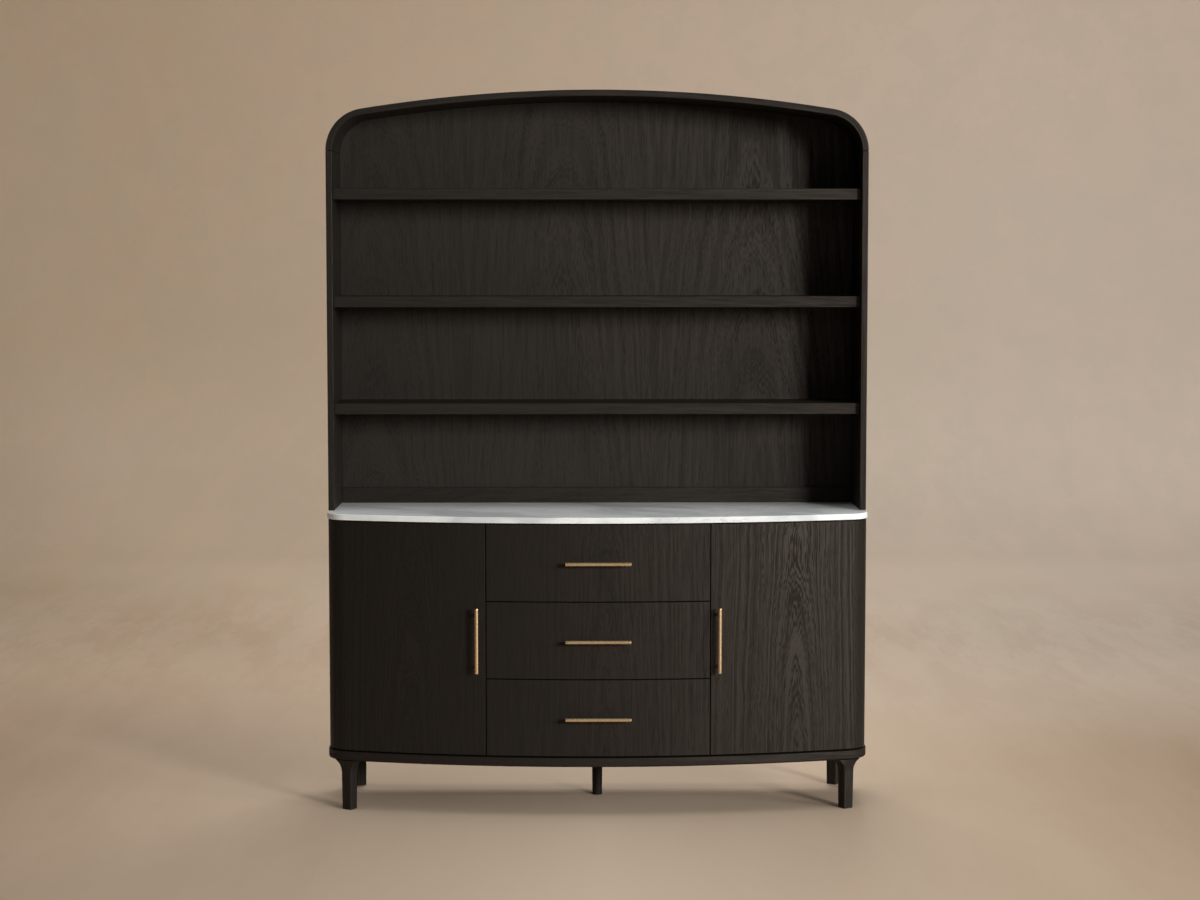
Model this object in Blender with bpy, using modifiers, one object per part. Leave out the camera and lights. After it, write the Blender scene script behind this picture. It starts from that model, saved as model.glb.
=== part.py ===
"""Bow-front hutch cabinet: a marble-topped base with two curved doors and three drawers,
and an open hutch of three shelves under an arched top. Metres, +Z up, the front faces -Y,
the origin is in the middle of the whole cabinet at floor level."""

import math

import bmesh
import bpy
from mathutils import Vector

# Overall size
WIDTH = 1.676
DEPTH = 0.508
HEIGHT = 2.221
WORKTOP_HEIGHT = 0.920
SEAT_GAP = 0.0003

# Marble and the bowed plan of the base
MARBLE_THICKNESS = 0.0185
MARBLE_ARRIS = 0.002
OVERHANG = 0.004
BOW_RADIUS = 2.85
CORNER_RADIUS = 0.080
BOW_STEP = math.radians(0.8)
CORNER_STEPS = 10

# Base frame and legs
RAIL_BOTTOM = 0.155
RAIL_TOP = 0.183
RAIL_WIDTH = 0.052
RAIL_ROUNDING = 0.006
MIDDLE_RAIL_WIDTH = 0.060
LEG_SIZE = 0.036
LEG_FOOT_SIZE = 0.033
LEG_TURN = math.radians(31)
LEG_SIDE_SETBACK = 0.068
LEG_AHEAD_OF_CORNER = 0.0576
REAR_LEG_INSET = 0.027
LEG_ARRIS = 0.0025
FOOT_CHAMFER = 0.0012
FLARE_HEIGHT = 0.042
FLARE_SIDE = 0.026
FLARE_OUT = 0.011
FLARE_IN = 0.012
FLARE_END = math.radians(72)
FLARE_STEPS = 7
CENTRE_LEG_SETBACK = 0.333
CENTRE_LEG_TOP_RADIUS = 0.017
CENTRE_LEG_FOOT_RADIUS = 0.0155

# Carcass
PANEL = 0.018
SIDE_PANEL = 0.022
BACK_PANEL = 0.010
SHELF_SETBACK = 0.025
INNER_SHELF_TOP = 0.552
CLEAT_HEIGHT = 0.016
CLEAT_DEPTH = 0.012
CLEAT_END = 0.030

# Doors and drawer fronts
FRONT_PANEL = 0.022
GAP_OVER_RAIL = 0.005
GAP_UNDER_MARBLE = 0.0035
FRONT_GAP = 0.003
DRAWER_SHARE = 0.4082
SWING_CLEARANCE = 0.0045
DOOR_SIDE_RUN = 0.026
DOOR_END_GAP = 0.0025
EDGE_ROUNDING = 0.0012

# Pivot hinges
PIVOT_INSET = 0.0065
PIVOT_FROM_END = 0.0105
PIVOT_RADIUS = 0.0025
PIVOT_CLEARANCE = 0.0004
PIVOT_LENGTH = 0.012
PIVOT_HOLE_DEPTH = 0.013
PLATE_THICKNESS = 0.0022
TOP_PLATE_LENGTH = 0.066
TOP_PLATE_WIDTH = 0.022
TOP_PLATE_PAST_AXIS = 0.0055
BOTTOM_PLATE_LENGTH = 0.034
BOTTOM_PLATE_PAST_AXIS = 0.010
BOTTOM_PLATE_WIDTH = 0.016
WASHER_RADIUS = 0.0055
NOTCH_CLEARANCE = 0.0005

# Drawer boxes and their runners
SLIDE_SPACE = 0.0127
BOX_LIFT = 0.024
BOX_DROP = 0.0506
BOX_WALL = 0.012
BOX_FLOOR = 0.008
BOX_BACK_INSET = 0.055
SLIDE_HEIGHT = 0.042
SLIDE_SHEET = 0.0015
SLIDE_PLAY = 0.0008
SLIDE_LIFT = 0.030
SLIDE_FRONT_GAP = 0.003
SLIDE_BACK_GAP = 0.002
SLIDE_LIP = 0.0085

# Bar pulls
PULL_LENGTH = 0.200
PULL_RADIUS = 0.0062
PULL_STAND = 0.026
PULL_POST_RADIUS = 0.0045
PULL_POST_SPACING = 0.160
PULL_CAP = 0.008
PULL_GROOVE = 0.0007
PULL_CHAMFER = 0.0008
DOOR_PULL_FROM_SEAM = 0.0245

# Hutch
HUTCH_FRONT_SETBACK = 0.225
HUTCH_BOARD = 0.0195
HUTCH_CORNER_RADIUS = 0.130
CROWN_RADIUS = 4.58
HUTCH_BACK_INSET = 0.025
HUTCH_BACK_THICKNESS = 0.012
HUTCH_SHELF_SETBACK = 0.022
HUTCH_SHELF_THICKNESS = 0.0345
CROWN_BAY_HEIGHT = 0.302
HUTCH_RAIL_HEIGHT = 0.049
HUTCH_RAIL_THICKNESS = 0.010
HUTCH_ARRIS = 0.002
ARCH_CORNER_STEPS = 12
CROWN_STEPS = 24

# Places worked out from the sizes above
HALF_WIDTH = WIDTH / 2
HALF = HALF_WIDTH - OVERHANG
PULL_REACH = PULL_STAND + PULL_RADIUS - OVERHANG
FRONT = (PULL_REACH - DEPTH) / 2
BACK = FRONT + DEPTH
BOW_CENTRE_Y = FRONT + OVERHANG + BOW_RADIUS
CORNER_X = HALF - CORNER_RADIUS
CORNER_Y = BOW_CENTRE_Y - math.sqrt((BOW_RADIUS - CORNER_RADIUS) ** 2 - CORNER_X ** 2)
TANGENT = math.asin(CORNER_X / (BOW_RADIUS - CORNER_RADIUS))
MARBLE_BOTTOM = WORKTOP_HEIGHT - MARBLE_THICKNESS
CARCASS_BOTTOM = RAIL_TOP + SEAT_GAP
CARCASS_TOP = MARBLE_BOTTOM - SEAT_GAP
FLOOR_TOP = CARCASS_BOTTOM + PANEL
SUB_TOP_BOTTOM = CARCASS_TOP - PANEL
DOOR_END = CORNER_Y + DOOR_SIDE_RUN
SIDE_FRONT = DOOR_END + DOOR_END_GAP
SIDE_INNER = HALF - SIDE_PANEL
BACK_PANEL_FACE = BACK - BACK_PANEL
INNER_OFFSET = -(FRONT_PANEL + SWING_CLEARANCE)
LEG_X = HALF_WIDTH - LEG_SIDE_SETBACK
SEAM_X = HALF_WIDTH * DRAWER_SHARE
FRONT_BOTTOM = RAIL_TOP + GAP_OVER_RAIL
FRONT_TOP = MARBLE_BOTTOM - GAP_UNDER_MARBLE
FRONT_HEIGHT = (FRONT_TOP - FRONT_BOTTOM - 2 * FRONT_GAP) / 3
PIVOT_X = HALF - PIVOT_INSET
PIVOT_Y = DOOR_END - PIVOT_FROM_END
PARTITION_INNER = SEAM_X - PANEL / 2
PARTITION_OUTER = SEAM_X + PANEL / 2
PARTITION_FRONT = BOW_CENTRE_Y - math.sqrt((BOW_RADIUS + INNER_OFFSET) ** 2 - PARTITION_OUTER ** 2)
BOX_HALF = PARTITION_INNER - SLIDE_SPACE
BOX_HEIGHT = FRONT_HEIGHT - BOX_LIFT - BOX_DROP
BOX_BACK = BACK - BOX_BACK_INSET
SLIDE_BACK = BOX_BACK - SLIDE_BACK_GAP
SLIDE_LENGTH = SLIDE_BACK - PARTITION_FRONT - SLIDE_FRONT_GAP
HUTCH_FRONT = FRONT + HUTCH_FRONT_SETBACK
HUTCH_INNER = HALF_WIDTH - HUTCH_BOARD
HUTCH_BACK_FACE = BACK - HUTCH_BACK_INSET
HUTCH_SHELF_PITCH = (HEIGHT - WORKTOP_HEIGHT - CROWN_BAY_HEIGHT) / 3
HUTCH_FOOT = WORKTOP_HEIGHT + SEAT_GAP
CROWN_CENTRE_Z = HEIGHT - CROWN_RADIUS
ARCH_CORNER_X = HALF_WIDTH - HUTCH_CORNER_RADIUS
ARCH_CORNER_Z = CROWN_CENTRE_Z + math.sqrt(
    (CROWN_RADIUS - HUTCH_CORNER_RADIUS) ** 2 - ARCH_CORNER_X ** 2)
CROWN_END = math.asin(ARCH_CORNER_X / (CROWN_RADIUS - HUTCH_CORNER_RADIUS))

for leftover in list(bpy.data.objects):
    bpy.data.objects.remove(leftover, do_unlink=True)

parts = bpy.data.collections.new("hutch_cabinet")
cutters = bpy.data.collections.new("cutters")
bpy.context.scene.collection.children.link(parts)
bpy.context.scene.collection.children.link(cutters)


# Materials

def finish(name, colour, roughness, metallic=0.0):
    made = bpy.data.materials.new(name)
    made.use_nodes = True
    shader = made.node_tree.nodes["Principled BSDF"]
    shader.inputs["Base Color"].default_value = (*colour, 1.0)
    shader.inputs["Roughness"].default_value = roughness
    shader.inputs["Metallic"].default_value = metallic
    return made


OAK = finish("dark_oak", (0.030, 0.024, 0.019), 0.55)
CARCASS = finish("carcass_oak", (0.036, 0.029, 0.023), 0.60)
MARBLE = finish("white_marble", (0.78, 0.77, 0.75), 0.25)
BRASS = finish("brushed_brass", (0.60, 0.41, 0.20), 0.35, 1.0)
STEEL = finish("zinc_steel", (0.56, 0.57, 0.58), 0.40, 1.0)


# Shapes

def add_object(name, mesh, coat, location=(0, 0, 0), rotation=(0, 0, 0)):
    mesh.materials.append(coat)
    made = bpy.data.objects.new(name, mesh)
    made.location = location
    made.rotation_euler = rotation
    parts.objects.link(made)
    return made


def box(name, xs, ys, zs, coat):
    """A panel between pairs of x, y and z, with its origin at its centre."""
    shape = bmesh.new()
    bmesh.ops.create_cube(shape, size=1.0)
    size = Vector((xs[1] - xs[0], ys[1] - ys[0], zs[1] - zs[0]))
    bmesh.ops.scale(shape, vec=size, verts=shape.verts)
    mesh = bpy.data.meshes.new(name)
    shape.to_mesh(mesh)
    shape.free()
    middle = (sum(xs) / 2, sum(ys) / 2, sum(zs) / 2)
    return add_object(name, mesh, coat, middle)


def outline_solid(name, outline, thickness, coat, location=(0, 0, 0), rotation=(0, 0, 0)):
    """A flat outline with a thickness centred on its own plane."""
    curve = bpy.data.curves.new(name, "CURVE")
    curve.dimensions = "2D"
    curve.fill_mode = "BOTH"
    curve.extrude = thickness / 2
    spline = curve.splines.new("POLY")
    spline.points.add(len(outline) - 1)
    for point, (x, y) in zip(spline.points, outline):
        point.co = (x, y, 0, 1)
    spline.use_cyclic_u = True
    drawn = bpy.data.objects.new(name + "_outline", curve)
    parts.objects.link(drawn)
    drawn.location = location
    drawn.rotation_euler = rotation
    bpy.context.view_layer.update()
    view = bpy.context.evaluated_depsgraph_get()
    mesh = bpy.data.meshes.new_from_object(drawn.evaluated_get(view))
    place = drawn.matrix_world.copy()
    bpy.data.objects.remove(drawn, do_unlink=True)
    shape = bmesh.new()
    shape.from_mesh(mesh)
    bmesh.ops.remove_doubles(shape, verts=shape.verts, dist=0.00005)
    bmesh.ops.dissolve_limit(
        shape, angle_limit=math.radians(0.05), verts=shape.verts, edges=shape.edges)
    bmesh.ops.recalc_face_normals(shape, faces=shape.faces)
    shape.to_mesh(mesh)
    shape.free()
    made = add_object(name, mesh, coat)
    made.matrix_world = place
    return made


def turned(name, profile, steps, coat, location=(0, 0, 0), rotation=(0, 0, 0)):
    """A solid of revolution about its own Z; the profile's (radius, height) run downwards."""
    mesh = bpy.data.meshes.new(name)
    edges = [(k, k + 1) for k in range(len(profile) - 1)]
    mesh.from_pydata([(radius, 0, height) for radius, height in profile], edges, [])
    made = add_object(name, mesh, coat, location, rotation)
    screw = made.modifiers.new("turn", "SCREW")
    screw.axis = "Z"
    screw.angle = math.tau
    screw.steps = steps
    screw.render_steps = steps
    screw.use_merge_vertices = True
    screw.merge_threshold = 0.00001
    screw.use_smooth_shade = True
    return made


def round_edges(piece, width, segments=1, angle=30):
    bevel = piece.modifiers.new("edges", "BEVEL")
    bevel.width = width
    bevel.segments = segments
    bevel.limit_method = "ANGLE"
    bevel.angle_limit = math.radians(angle)
    return piece


def smooth(piece, angle=35):
    piece.data.shade_smooth()
    piece.data.set_sharp_from_angle(angle=math.radians(angle))
    return piece


def as_cutter(piece):
    parts.objects.unlink(piece)
    cutters.objects.link(piece)
    piece.display_type = "WIRE"
    piece.hide_render = True
    return piece


def combine(piece, tool, operation):
    step = piece.modifiers.new(operation.lower(), "BOOLEAN")
    step.operation = operation
    step.solver = "EXACT"
    step.object = tool
    return piece


def rod(name, radius, length, coat, location=(0, 0, 0), rotation=(0, 0, 0), segments=20):
    shape = bmesh.new()
    bmesh.ops.create_cone(
        shape, cap_ends=True, segments=segments, radius1=radius, radius2=radius, depth=length)
    mesh = bpy.data.meshes.new(name)
    shape.to_mesh(mesh)
    shape.free()
    return add_object(name, mesh, coat, location, rotation)


def joint_empty(name, location):
    """The empty on a joint's axis that carries the pieces that move together."""
    axis = bpy.data.objects.new(name, None)
    axis.empty_display_size = 0.05
    axis.location = location
    parts.objects.link(axis)
    return axis


def carry(axis, pieces):
    bpy.context.view_layer.update()
    for piece in pieces:
        piece.parent = axis
        piece.matrix_parent_inverse = axis.matrix_world.inverted()


# The bowed plan

def bow_y(x, offset=0.0):
    """The y of the bowed face at x, with the face moved outwards by the offset."""
    return BOW_CENTRE_Y - math.sqrt((BOW_RADIUS + offset) ** 2 - x * x)


def bow_points(offset, x_from, x_to):
    """Points along the bow from one x to another, on shared radial steps."""
    radius = BOW_RADIUS + offset
    start = math.asin(x_from / radius)
    end = math.asin(x_to / radius)
    first = math.ceil(start / BOW_STEP + 0.2)
    last = math.floor(end / BOW_STEP - 0.2)
    angles = [start] + [k * BOW_STEP for k in range(first, last + 1)] + [end]
    return [(radius * math.sin(t), BOW_CENTRE_Y - radius * math.cos(t)) for t in angles]


def right_front(offset, x_from):
    """The right half of the front from x_from, round the corner to the straight side."""
    line = bow_points(offset, x_from, (BOW_RADIUS + offset) * math.sin(TANGENT))
    radius = CORNER_RADIUS + offset
    for k in range(1, CORNER_STEPS + 1):
        turn = TANGENT + (math.pi / 2 - TANGENT) * k / CORNER_STEPS
        line.append((CORNER_X + radius * math.sin(turn), CORNER_Y - radius * math.cos(turn)))
    return line


def mirrored(points):
    return [(-x, y) for x, y in reversed(points)]


def whole_front(offset):
    half = bow_points(offset, 0.0, (BOW_RADIUS + offset) * math.sin(TANGENT))
    corner = right_front(offset, 0.0)[len(half):]
    right = half[1:] + corner
    return mirrored(right) + [half[0]] + right


def on_side(points, side):
    """Points drawn for the right half, turned over for the left when side is -1."""
    return points if side > 0 else mirrored(points)


def span(side, near, far):
    """The pair of x between two distances from the middle, on one side."""
    return (near, far) if side > 0 else (-far, -near)


def middle_height(low, high):
    return (0, 0, (low + high) / 2)


SIDES = (("left", -1), ("right", 1))


# Marble top

def make_marble():
    outline = whole_front(OVERHANG) + [(HALF_WIDTH, BACK), (-HALF_WIDTH, BACK)]
    slab = outline_solid("marble_top", outline, MARBLE_THICKNESS, MARBLE,
                         middle_height(MARBLE_BOTTOM, WORKTOP_HEIGHT))
    round_edges(slab, MARBLE_ARRIS, 3)
    smooth(slab)


# Base frame: a rail bent round the front and sides, a rail across the back and one from
# front to back that carries the middle leg

def rail_outline():
    inner = OVERHANG - RAIL_WIDTH
    outer_line = whole_front(OVERHANG) + [(HALF_WIDTH, BACK)]
    inner_line = [(HALF + inner, BACK)] + list(reversed(whole_front(inner)))
    return outer_line + inner_line + [(-HALF - inner, BACK), (-HALF_WIDTH, BACK)]


def make_base_frame():
    height = RAIL_TOP - RAIL_BOTTOM
    bent = outline_solid("base_rail_front", rail_outline(), height, OAK,
                         middle_height(RAIL_BOTTOM, RAIL_TOP))
    weights = bent.data.attributes.new("bevel_weight_edge", "FLOAT", "EDGE")
    reach = HALF_WIDTH - RAIL_WIDTH / 2
    for edge in bent.data.edges:
        ends = [bent.data.vertices[k].co for k in edge.vertices]
        outside = all(
            abs(p.x) > reach or p.y < bow_y(min(abs(p.x), reach), -RAIL_WIDTH / 2) for p in ends)
        level = all(p.z < 0 for p in ends)
        across = abs(ends[0].y - BACK) < 1e-5 and abs(ends[1].y - BACK) < 1e-5
        weights.data[edge.index].value = 1.0 if outside and level and not across else 0.0
    bevel = bent.modifiers.new("lower_edge", "BEVEL")
    bevel.limit_method = "WEIGHT"
    bevel.width = RAIL_ROUNDING
    bevel.segments = 3
    smooth(bent)
    inner_half = HALF_WIDTH - RAIL_WIDTH - SEAT_GAP
    round_edges(box("base_rail_back", (-inner_half, inner_half), (BACK - RAIL_WIDTH, BACK),
                    (RAIL_BOTTOM, RAIL_TOP), OAK), EDGE_ROUNDING)
    front_end = FRONT + RAIL_WIDTH + SEAT_GAP
    reach_x = MIDDLE_RAIL_WIDTH / 2
    sag = bow_y(reach_x, OVERHANG - RAIL_WIDTH) - bow_y(0, OVERHANG - RAIL_WIDTH)
    box("base_rail_middle", (-reach_x, reach_x),
        (front_end + sag, BACK - RAIL_WIDTH - SEAT_GAP), (RAIL_BOTTOM, RAIL_TOP), CARCASS)


# Legs: square posts turned to face the corners, with heads that flare into the rail

def leg_levels():
    """(height, foot inset, flare share along the face, flare share across) up a leg."""
    flare_start = RAIL_BOTTOM - SEAT_GAP - FLARE_HEIGHT * math.sin(FLARE_END)
    levels = [(0.0, FOOT_CHAMFER, 0.0), (FOOT_CHAMFER, 0.0, 0.0)]
    for k in range(FLARE_STEPS + 1):
        turn = FLARE_END * k / FLARE_STEPS
        levels.append((flare_start + FLARE_HEIGHT * math.sin(turn), 0.0, 1 - math.cos(turn)))
    return levels


def leg_section(height, inset, flare):
    """A square with rounded arrises; its outer face is towards -y."""
    grow = height / RAIL_BOTTOM
    half = (LEG_FOOT_SIZE + (LEG_SIZE - LEG_FOOT_SIZE) * grow) / 2 - inset
    wide = half + FLARE_SIDE * flare
    front = -half - FLARE_OUT * flare
    back = half + FLARE_IN * flare
    arris = LEG_ARRIS
    centres = ((wide - arris, back - arris, 0), (arris - wide, back - arris, 1),
               (arris - wide, front + arris, 2), (wide - arris, front + arris, 3))
    ring = []
    for x, y, quarter in centres:
        for k in range(3):
            turn = (quarter + k / 2) * math.pi / 2
            ring.append((x + arris * math.cos(turn), y + arris * math.sin(turn), height))
    return ring


def make_corner_leg(name, x, y, turn, footprint):
    shape = bmesh.new()
    rings = [[shape.verts.new(p) for p in leg_section(*level)] for level in leg_levels()]
    count = len(rings[0])
    for lower, upper in zip(rings, rings[1:]):
        for k in range(count):
            after = (k + 1) % count
            shape.faces.new((lower[k], lower[after], upper[after], upper[k]))
    shape.faces.new(list(reversed(rings[0])))
    shape.faces.new(rings[-1])
    bmesh.ops.recalc_face_normals(shape, faces=shape.faces)
    mesh = bpy.data.meshes.new(name)
    shape.to_mesh(mesh)
    shape.free()
    leg = add_object(name, mesh, OAK, (x, y, 0), (0, 0, turn))
    combine(leg, footprint, "INTERSECT")
    smooth(leg, 28)


def make_legs():
    outline = whole_front(OVERHANG) + [(HALF_WIDTH, BACK), (-HALF_WIDTH, BACK)]
    footprint = as_cutter(outline_solid("rail_footprint", outline, 2 * RAIL_TOP, OAK))
    for word, side in SIDES:
        make_corner_leg("leg_front_" + word, side * LEG_X, CORNER_Y - LEG_AHEAD_OF_CORNER,
                        side * LEG_TURN, footprint)
        make_corner_leg("leg_rear_" + word, side * LEG_X, BACK - REAR_LEG_INSET,
                        side * (math.pi - LEG_TURN), footprint)
    top = RAIL_BOTTOM - SEAT_GAP
    profile = [(0, top), (CENTRE_LEG_TOP_RADIUS, top),
               (CENTRE_LEG_FOOT_RADIUS, FOOT_CHAMFER),
               (CENTRE_LEG_FOOT_RADIUS - FOOT_CHAMFER, 0), (0, 0)]
    centre = turned("leg_centre", profile, 28, OAK, (0, FRONT + CENTRE_LEG_SETBACK, 0))
    centre.modifiers["turn"].use_smooth_shade = False


# Carcass panels

def inside_plan():
    """The plan of the floor and sub-top: clear of the fronts, then out to the side panels."""
    edge = SIDE_INNER - SEAT_GAP
    step = SIDE_FRONT + SEAT_GAP
    right = [(HALF + INNER_OFFSET, step), (edge, step + SWING_CLEARANCE),
             (edge, BACK_PANEL_FACE - SEAT_GAP)]
    return whole_front(INNER_OFFSET) + right + mirrored(right)


def make_carcass():
    outline_solid("base_floor", inside_plan(), PANEL, CARCASS,
                  middle_height(CARCASS_BOTTOM, FLOOR_TOP))
    sub_top = outline_solid("sub_top", inside_plan(), PANEL, CARCASS,
                            middle_height(SUB_TOP_BOTTOM, CARCASS_TOP))
    for word, side in SIDES:
        side_panel = box("base_side_" + word, span(side, SIDE_INNER, HALF), (SIDE_FRONT, BACK),
                         (CARCASS_BOTTOM, CARCASS_TOP), OAK)
        round_edges(side_panel, EDGE_ROUNDING)
        notch_end = PIVOT_X + TOP_PLATE_PAST_AXIS
        notch_start = notch_end - TOP_PLATE_LENGTH - NOTCH_CLEARANCE
        reach = TOP_PLATE_WIDTH / 2 + NOTCH_CLEARANCE
        notch = box("plate_notch_" + word, span(side, notch_start, notch_end),
                    (PIVOT_Y - reach, PIVOT_Y + reach),
                    (CARCASS_TOP - PLATE_THICKNESS - SEAT_GAP, MARBLE_BOTTOM + PANEL), CARCASS)
        combine(sub_top, as_cutter(notch), "DIFFERENCE")
        box("partition_" + word, span(side, PARTITION_INNER, PARTITION_OUTER),
            (PARTITION_FRONT, BACK_PANEL_FACE - SEAT_GAP),
            (FLOOR_TOP + SEAT_GAP, SUB_TOP_BOTTOM - SEAT_GAP), CARCASS)
    inner = SIDE_INNER - SEAT_GAP
    box("base_back", (-inner, inner), (BACK_PANEL_FACE, BACK),
        (CARCASS_BOTTOM, CARCASS_TOP), CARCASS)


def make_inner_shelves():
    """One shelf in each cupboard, on a cleat at each end."""
    offset = INNER_OFFSET - SHELF_SETBACK
    near = PARTITION_OUTER + SEAT_GAP
    far = SIDE_INNER - SEAT_GAP
    back = BACK_PANEL_FACE - SEAT_GAP
    front = SIDE_FRONT + SHELF_SETBACK
    plan = right_front(offset, near) + [(HALF + offset, front), (far, front), (far, back),
                                        (near, back)]
    cleat_top = INNER_SHELF_TOP - PANEL - SEAT_GAP
    cleat_ys = (front + CLEAT_END, back - CLEAT_END)
    heights = (cleat_top - CLEAT_HEIGHT, cleat_top)
    for word, side in SIDES:
        shelf = outline_solid("inner_shelf_" + word, on_side(plan, side), PANEL, CARCASS,
                              middle_height(INNER_SHELF_TOP - PANEL, INNER_SHELF_TOP))
        round_edges(shelf, EDGE_ROUNDING)
        box("shelf_cleat_outer_" + word, span(side, far - CLEAT_DEPTH, far), cleat_ys,
            heights, CARCASS)
        box("shelf_cleat_inner_" + word, span(side, near, near + CLEAT_DEPTH), cleat_ys,
            heights, CARCASS)


# Doors: bent panels that wrap the corners and turn on pins near their ends

def pull(name, location, rotation, stand=PULL_STAND):
    """A turned bar with grooved end caps on two posts that reach the face behind it."""
    half = PULL_LENGTH / 2
    cap = half - PULL_CAP
    groove = PULL_RADIUS - PULL_GROOVE
    upper = [(0, half), (PULL_RADIUS - PULL_CHAMFER, half), (PULL_RADIUS, half - PULL_CHAMFER),
             (PULL_RADIUS, cap + PULL_GROOVE), (groove, cap + PULL_GROOVE / 2),
             (groove, cap - PULL_GROOVE / 2), (PULL_RADIUS, cap - PULL_GROOVE)]
    lower = [(radius, -height) for radius, height in reversed(upper)]
    bar = turned(name, upper + lower, 16, BRASS, location, rotation)
    for k, end in enumerate((-1, 1)):
        length = stand - SEAT_GAP
        post = as_cutter(rod(name + "_post_" + str(k), PULL_POST_RADIUS, length, BRASS,
                             (0, length / 2, end * PULL_POST_SPACING / 2),
                             (math.pi / 2, 0, 0), 14))
        post.parent = bar
        combine(bar, post, "UNION")
    return bar


def make_door(word, side):
    seam = SEAM_X + FRONT_GAP / 2
    outer = right_front(0.0, seam) + [(HALF, DOOR_END)]
    inner = right_front(-FRONT_PANEL, seam) + [(HALF - FRONT_PANEL, DOOR_END)]
    outline = on_side(outer + list(reversed(inner)), side)
    door = outline_solid("door_" + word, outline, FRONT_TOP - FRONT_BOTTOM, OAK,
                         middle_height(FRONT_BOTTOM, FRONT_TOP))
    round_edges(door, EDGE_ROUNDING)
    for k, height in enumerate((FRONT_BOTTOM, FRONT_TOP)):
        hole = rod("pivot_hole_%s_%d" % (word, k), PIVOT_RADIUS + PIVOT_CLEARANCE,
                   2 * PIVOT_HOLE_DEPTH, STEEL, (side * PIVOT_X, PIVOT_Y, height))
        combine(door, as_cutter(hole), "DIFFERENCE")
    smooth(door)
    face_x = SEAM_X + DOOR_PULL_FROM_SEAM
    lean = math.asin(face_x / BOW_RADIUS)
    stand = BOW_RADIUS + PULL_STAND
    grip = pull("door_pull_" + word,
                (side * stand * math.sin(lean), BOW_CENTRE_Y - stand * math.cos(lean),
                 (FRONT_BOTTOM + FRONT_TOP) / 2), (0, 0, side * lean))
    carry(joint_empty("door_%s_pivot" % word, (side * PIVOT_X, PIVOT_Y, FRONT_BOTTOM)),
          [door, grip])


def make_hinge_plates(word, side):
    """The upper plate is let into the sub-top; the lower one lies on the rail."""
    top_of_plate = CARCASS_TOP
    end = PIVOT_X + TOP_PLATE_PAST_AXIS
    upper = box("hinge_top_" + word, span(side, end - TOP_PLATE_LENGTH, end),
                (PIVOT_Y - TOP_PLATE_WIDTH / 2, PIVOT_Y + TOP_PLATE_WIDTH / 2),
                (top_of_plate - PLATE_THICKNESS, top_of_plate), STEEL)
    upper_pin_foot = FRONT_TOP - PIVOT_LENGTH
    upper_pin_head = top_of_plate - PLATE_THICKNESS / 2
    lower = box("hinge_bottom_" + word,
                span(side, PIVOT_X - BOTTOM_PLATE_WIDTH / 2, PIVOT_X + PIVOT_INSET - OVERHANG / 2),
                (PIVOT_Y + BOTTOM_PLATE_PAST_AXIS - BOTTOM_PLATE_LENGTH,
                 PIVOT_Y + BOTTOM_PLATE_PAST_AXIS),
                (CARCASS_BOTTOM, CARCASS_BOTTOM + PLATE_THICKNESS), STEEL)
    lower_pin_foot = CARCASS_BOTTOM + PLATE_THICKNESS / 2
    lower_pin_head = FRONT_BOTTOM + PIVOT_LENGTH
    washer_top = FRONT_BOTTOM - SEAT_GAP
    tools = ((upper, PIVOT_RADIUS, upper_pin_foot, upper_pin_head),
             (lower, PIVOT_RADIUS, lower_pin_foot, lower_pin_head),
             (lower, WASHER_RADIUS, lower_pin_foot, washer_top))
    for k, (plate, radius, low, high) in enumerate(tools):
        tool = rod("pivot_tool_%s_%d" % (word, k), radius, high - low, STEEL,
                   (side * PIVOT_X, PIVOT_Y, (low + high) / 2))
        combine(plate, as_cutter(tool), "UNION")


# Drawers: a bowed front, a box whose front wall follows it, a pull and two runners

def channel(web, lip, low, high, toward):
    """A C-shaped sheet section in x and z: its web at one x, its lips reaching to another."""
    sheet = SLIDE_SHEET * toward
    return [(web, low), (lip, low), (lip, low + SLIDE_SHEET), (web + sheet, low + SLIDE_SHEET),
            (web + sheet, high - SLIDE_SHEET), (lip, high - SLIDE_SHEET), (lip, high), (web, high)]


def make_runner(name, outline):
    return outline_solid(name, outline, SLIDE_LENGTH, STEEL,
                         (0, SLIDE_BACK - SLIDE_LENGTH / 2, 0), (math.pi / 2, 0, 0))


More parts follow.
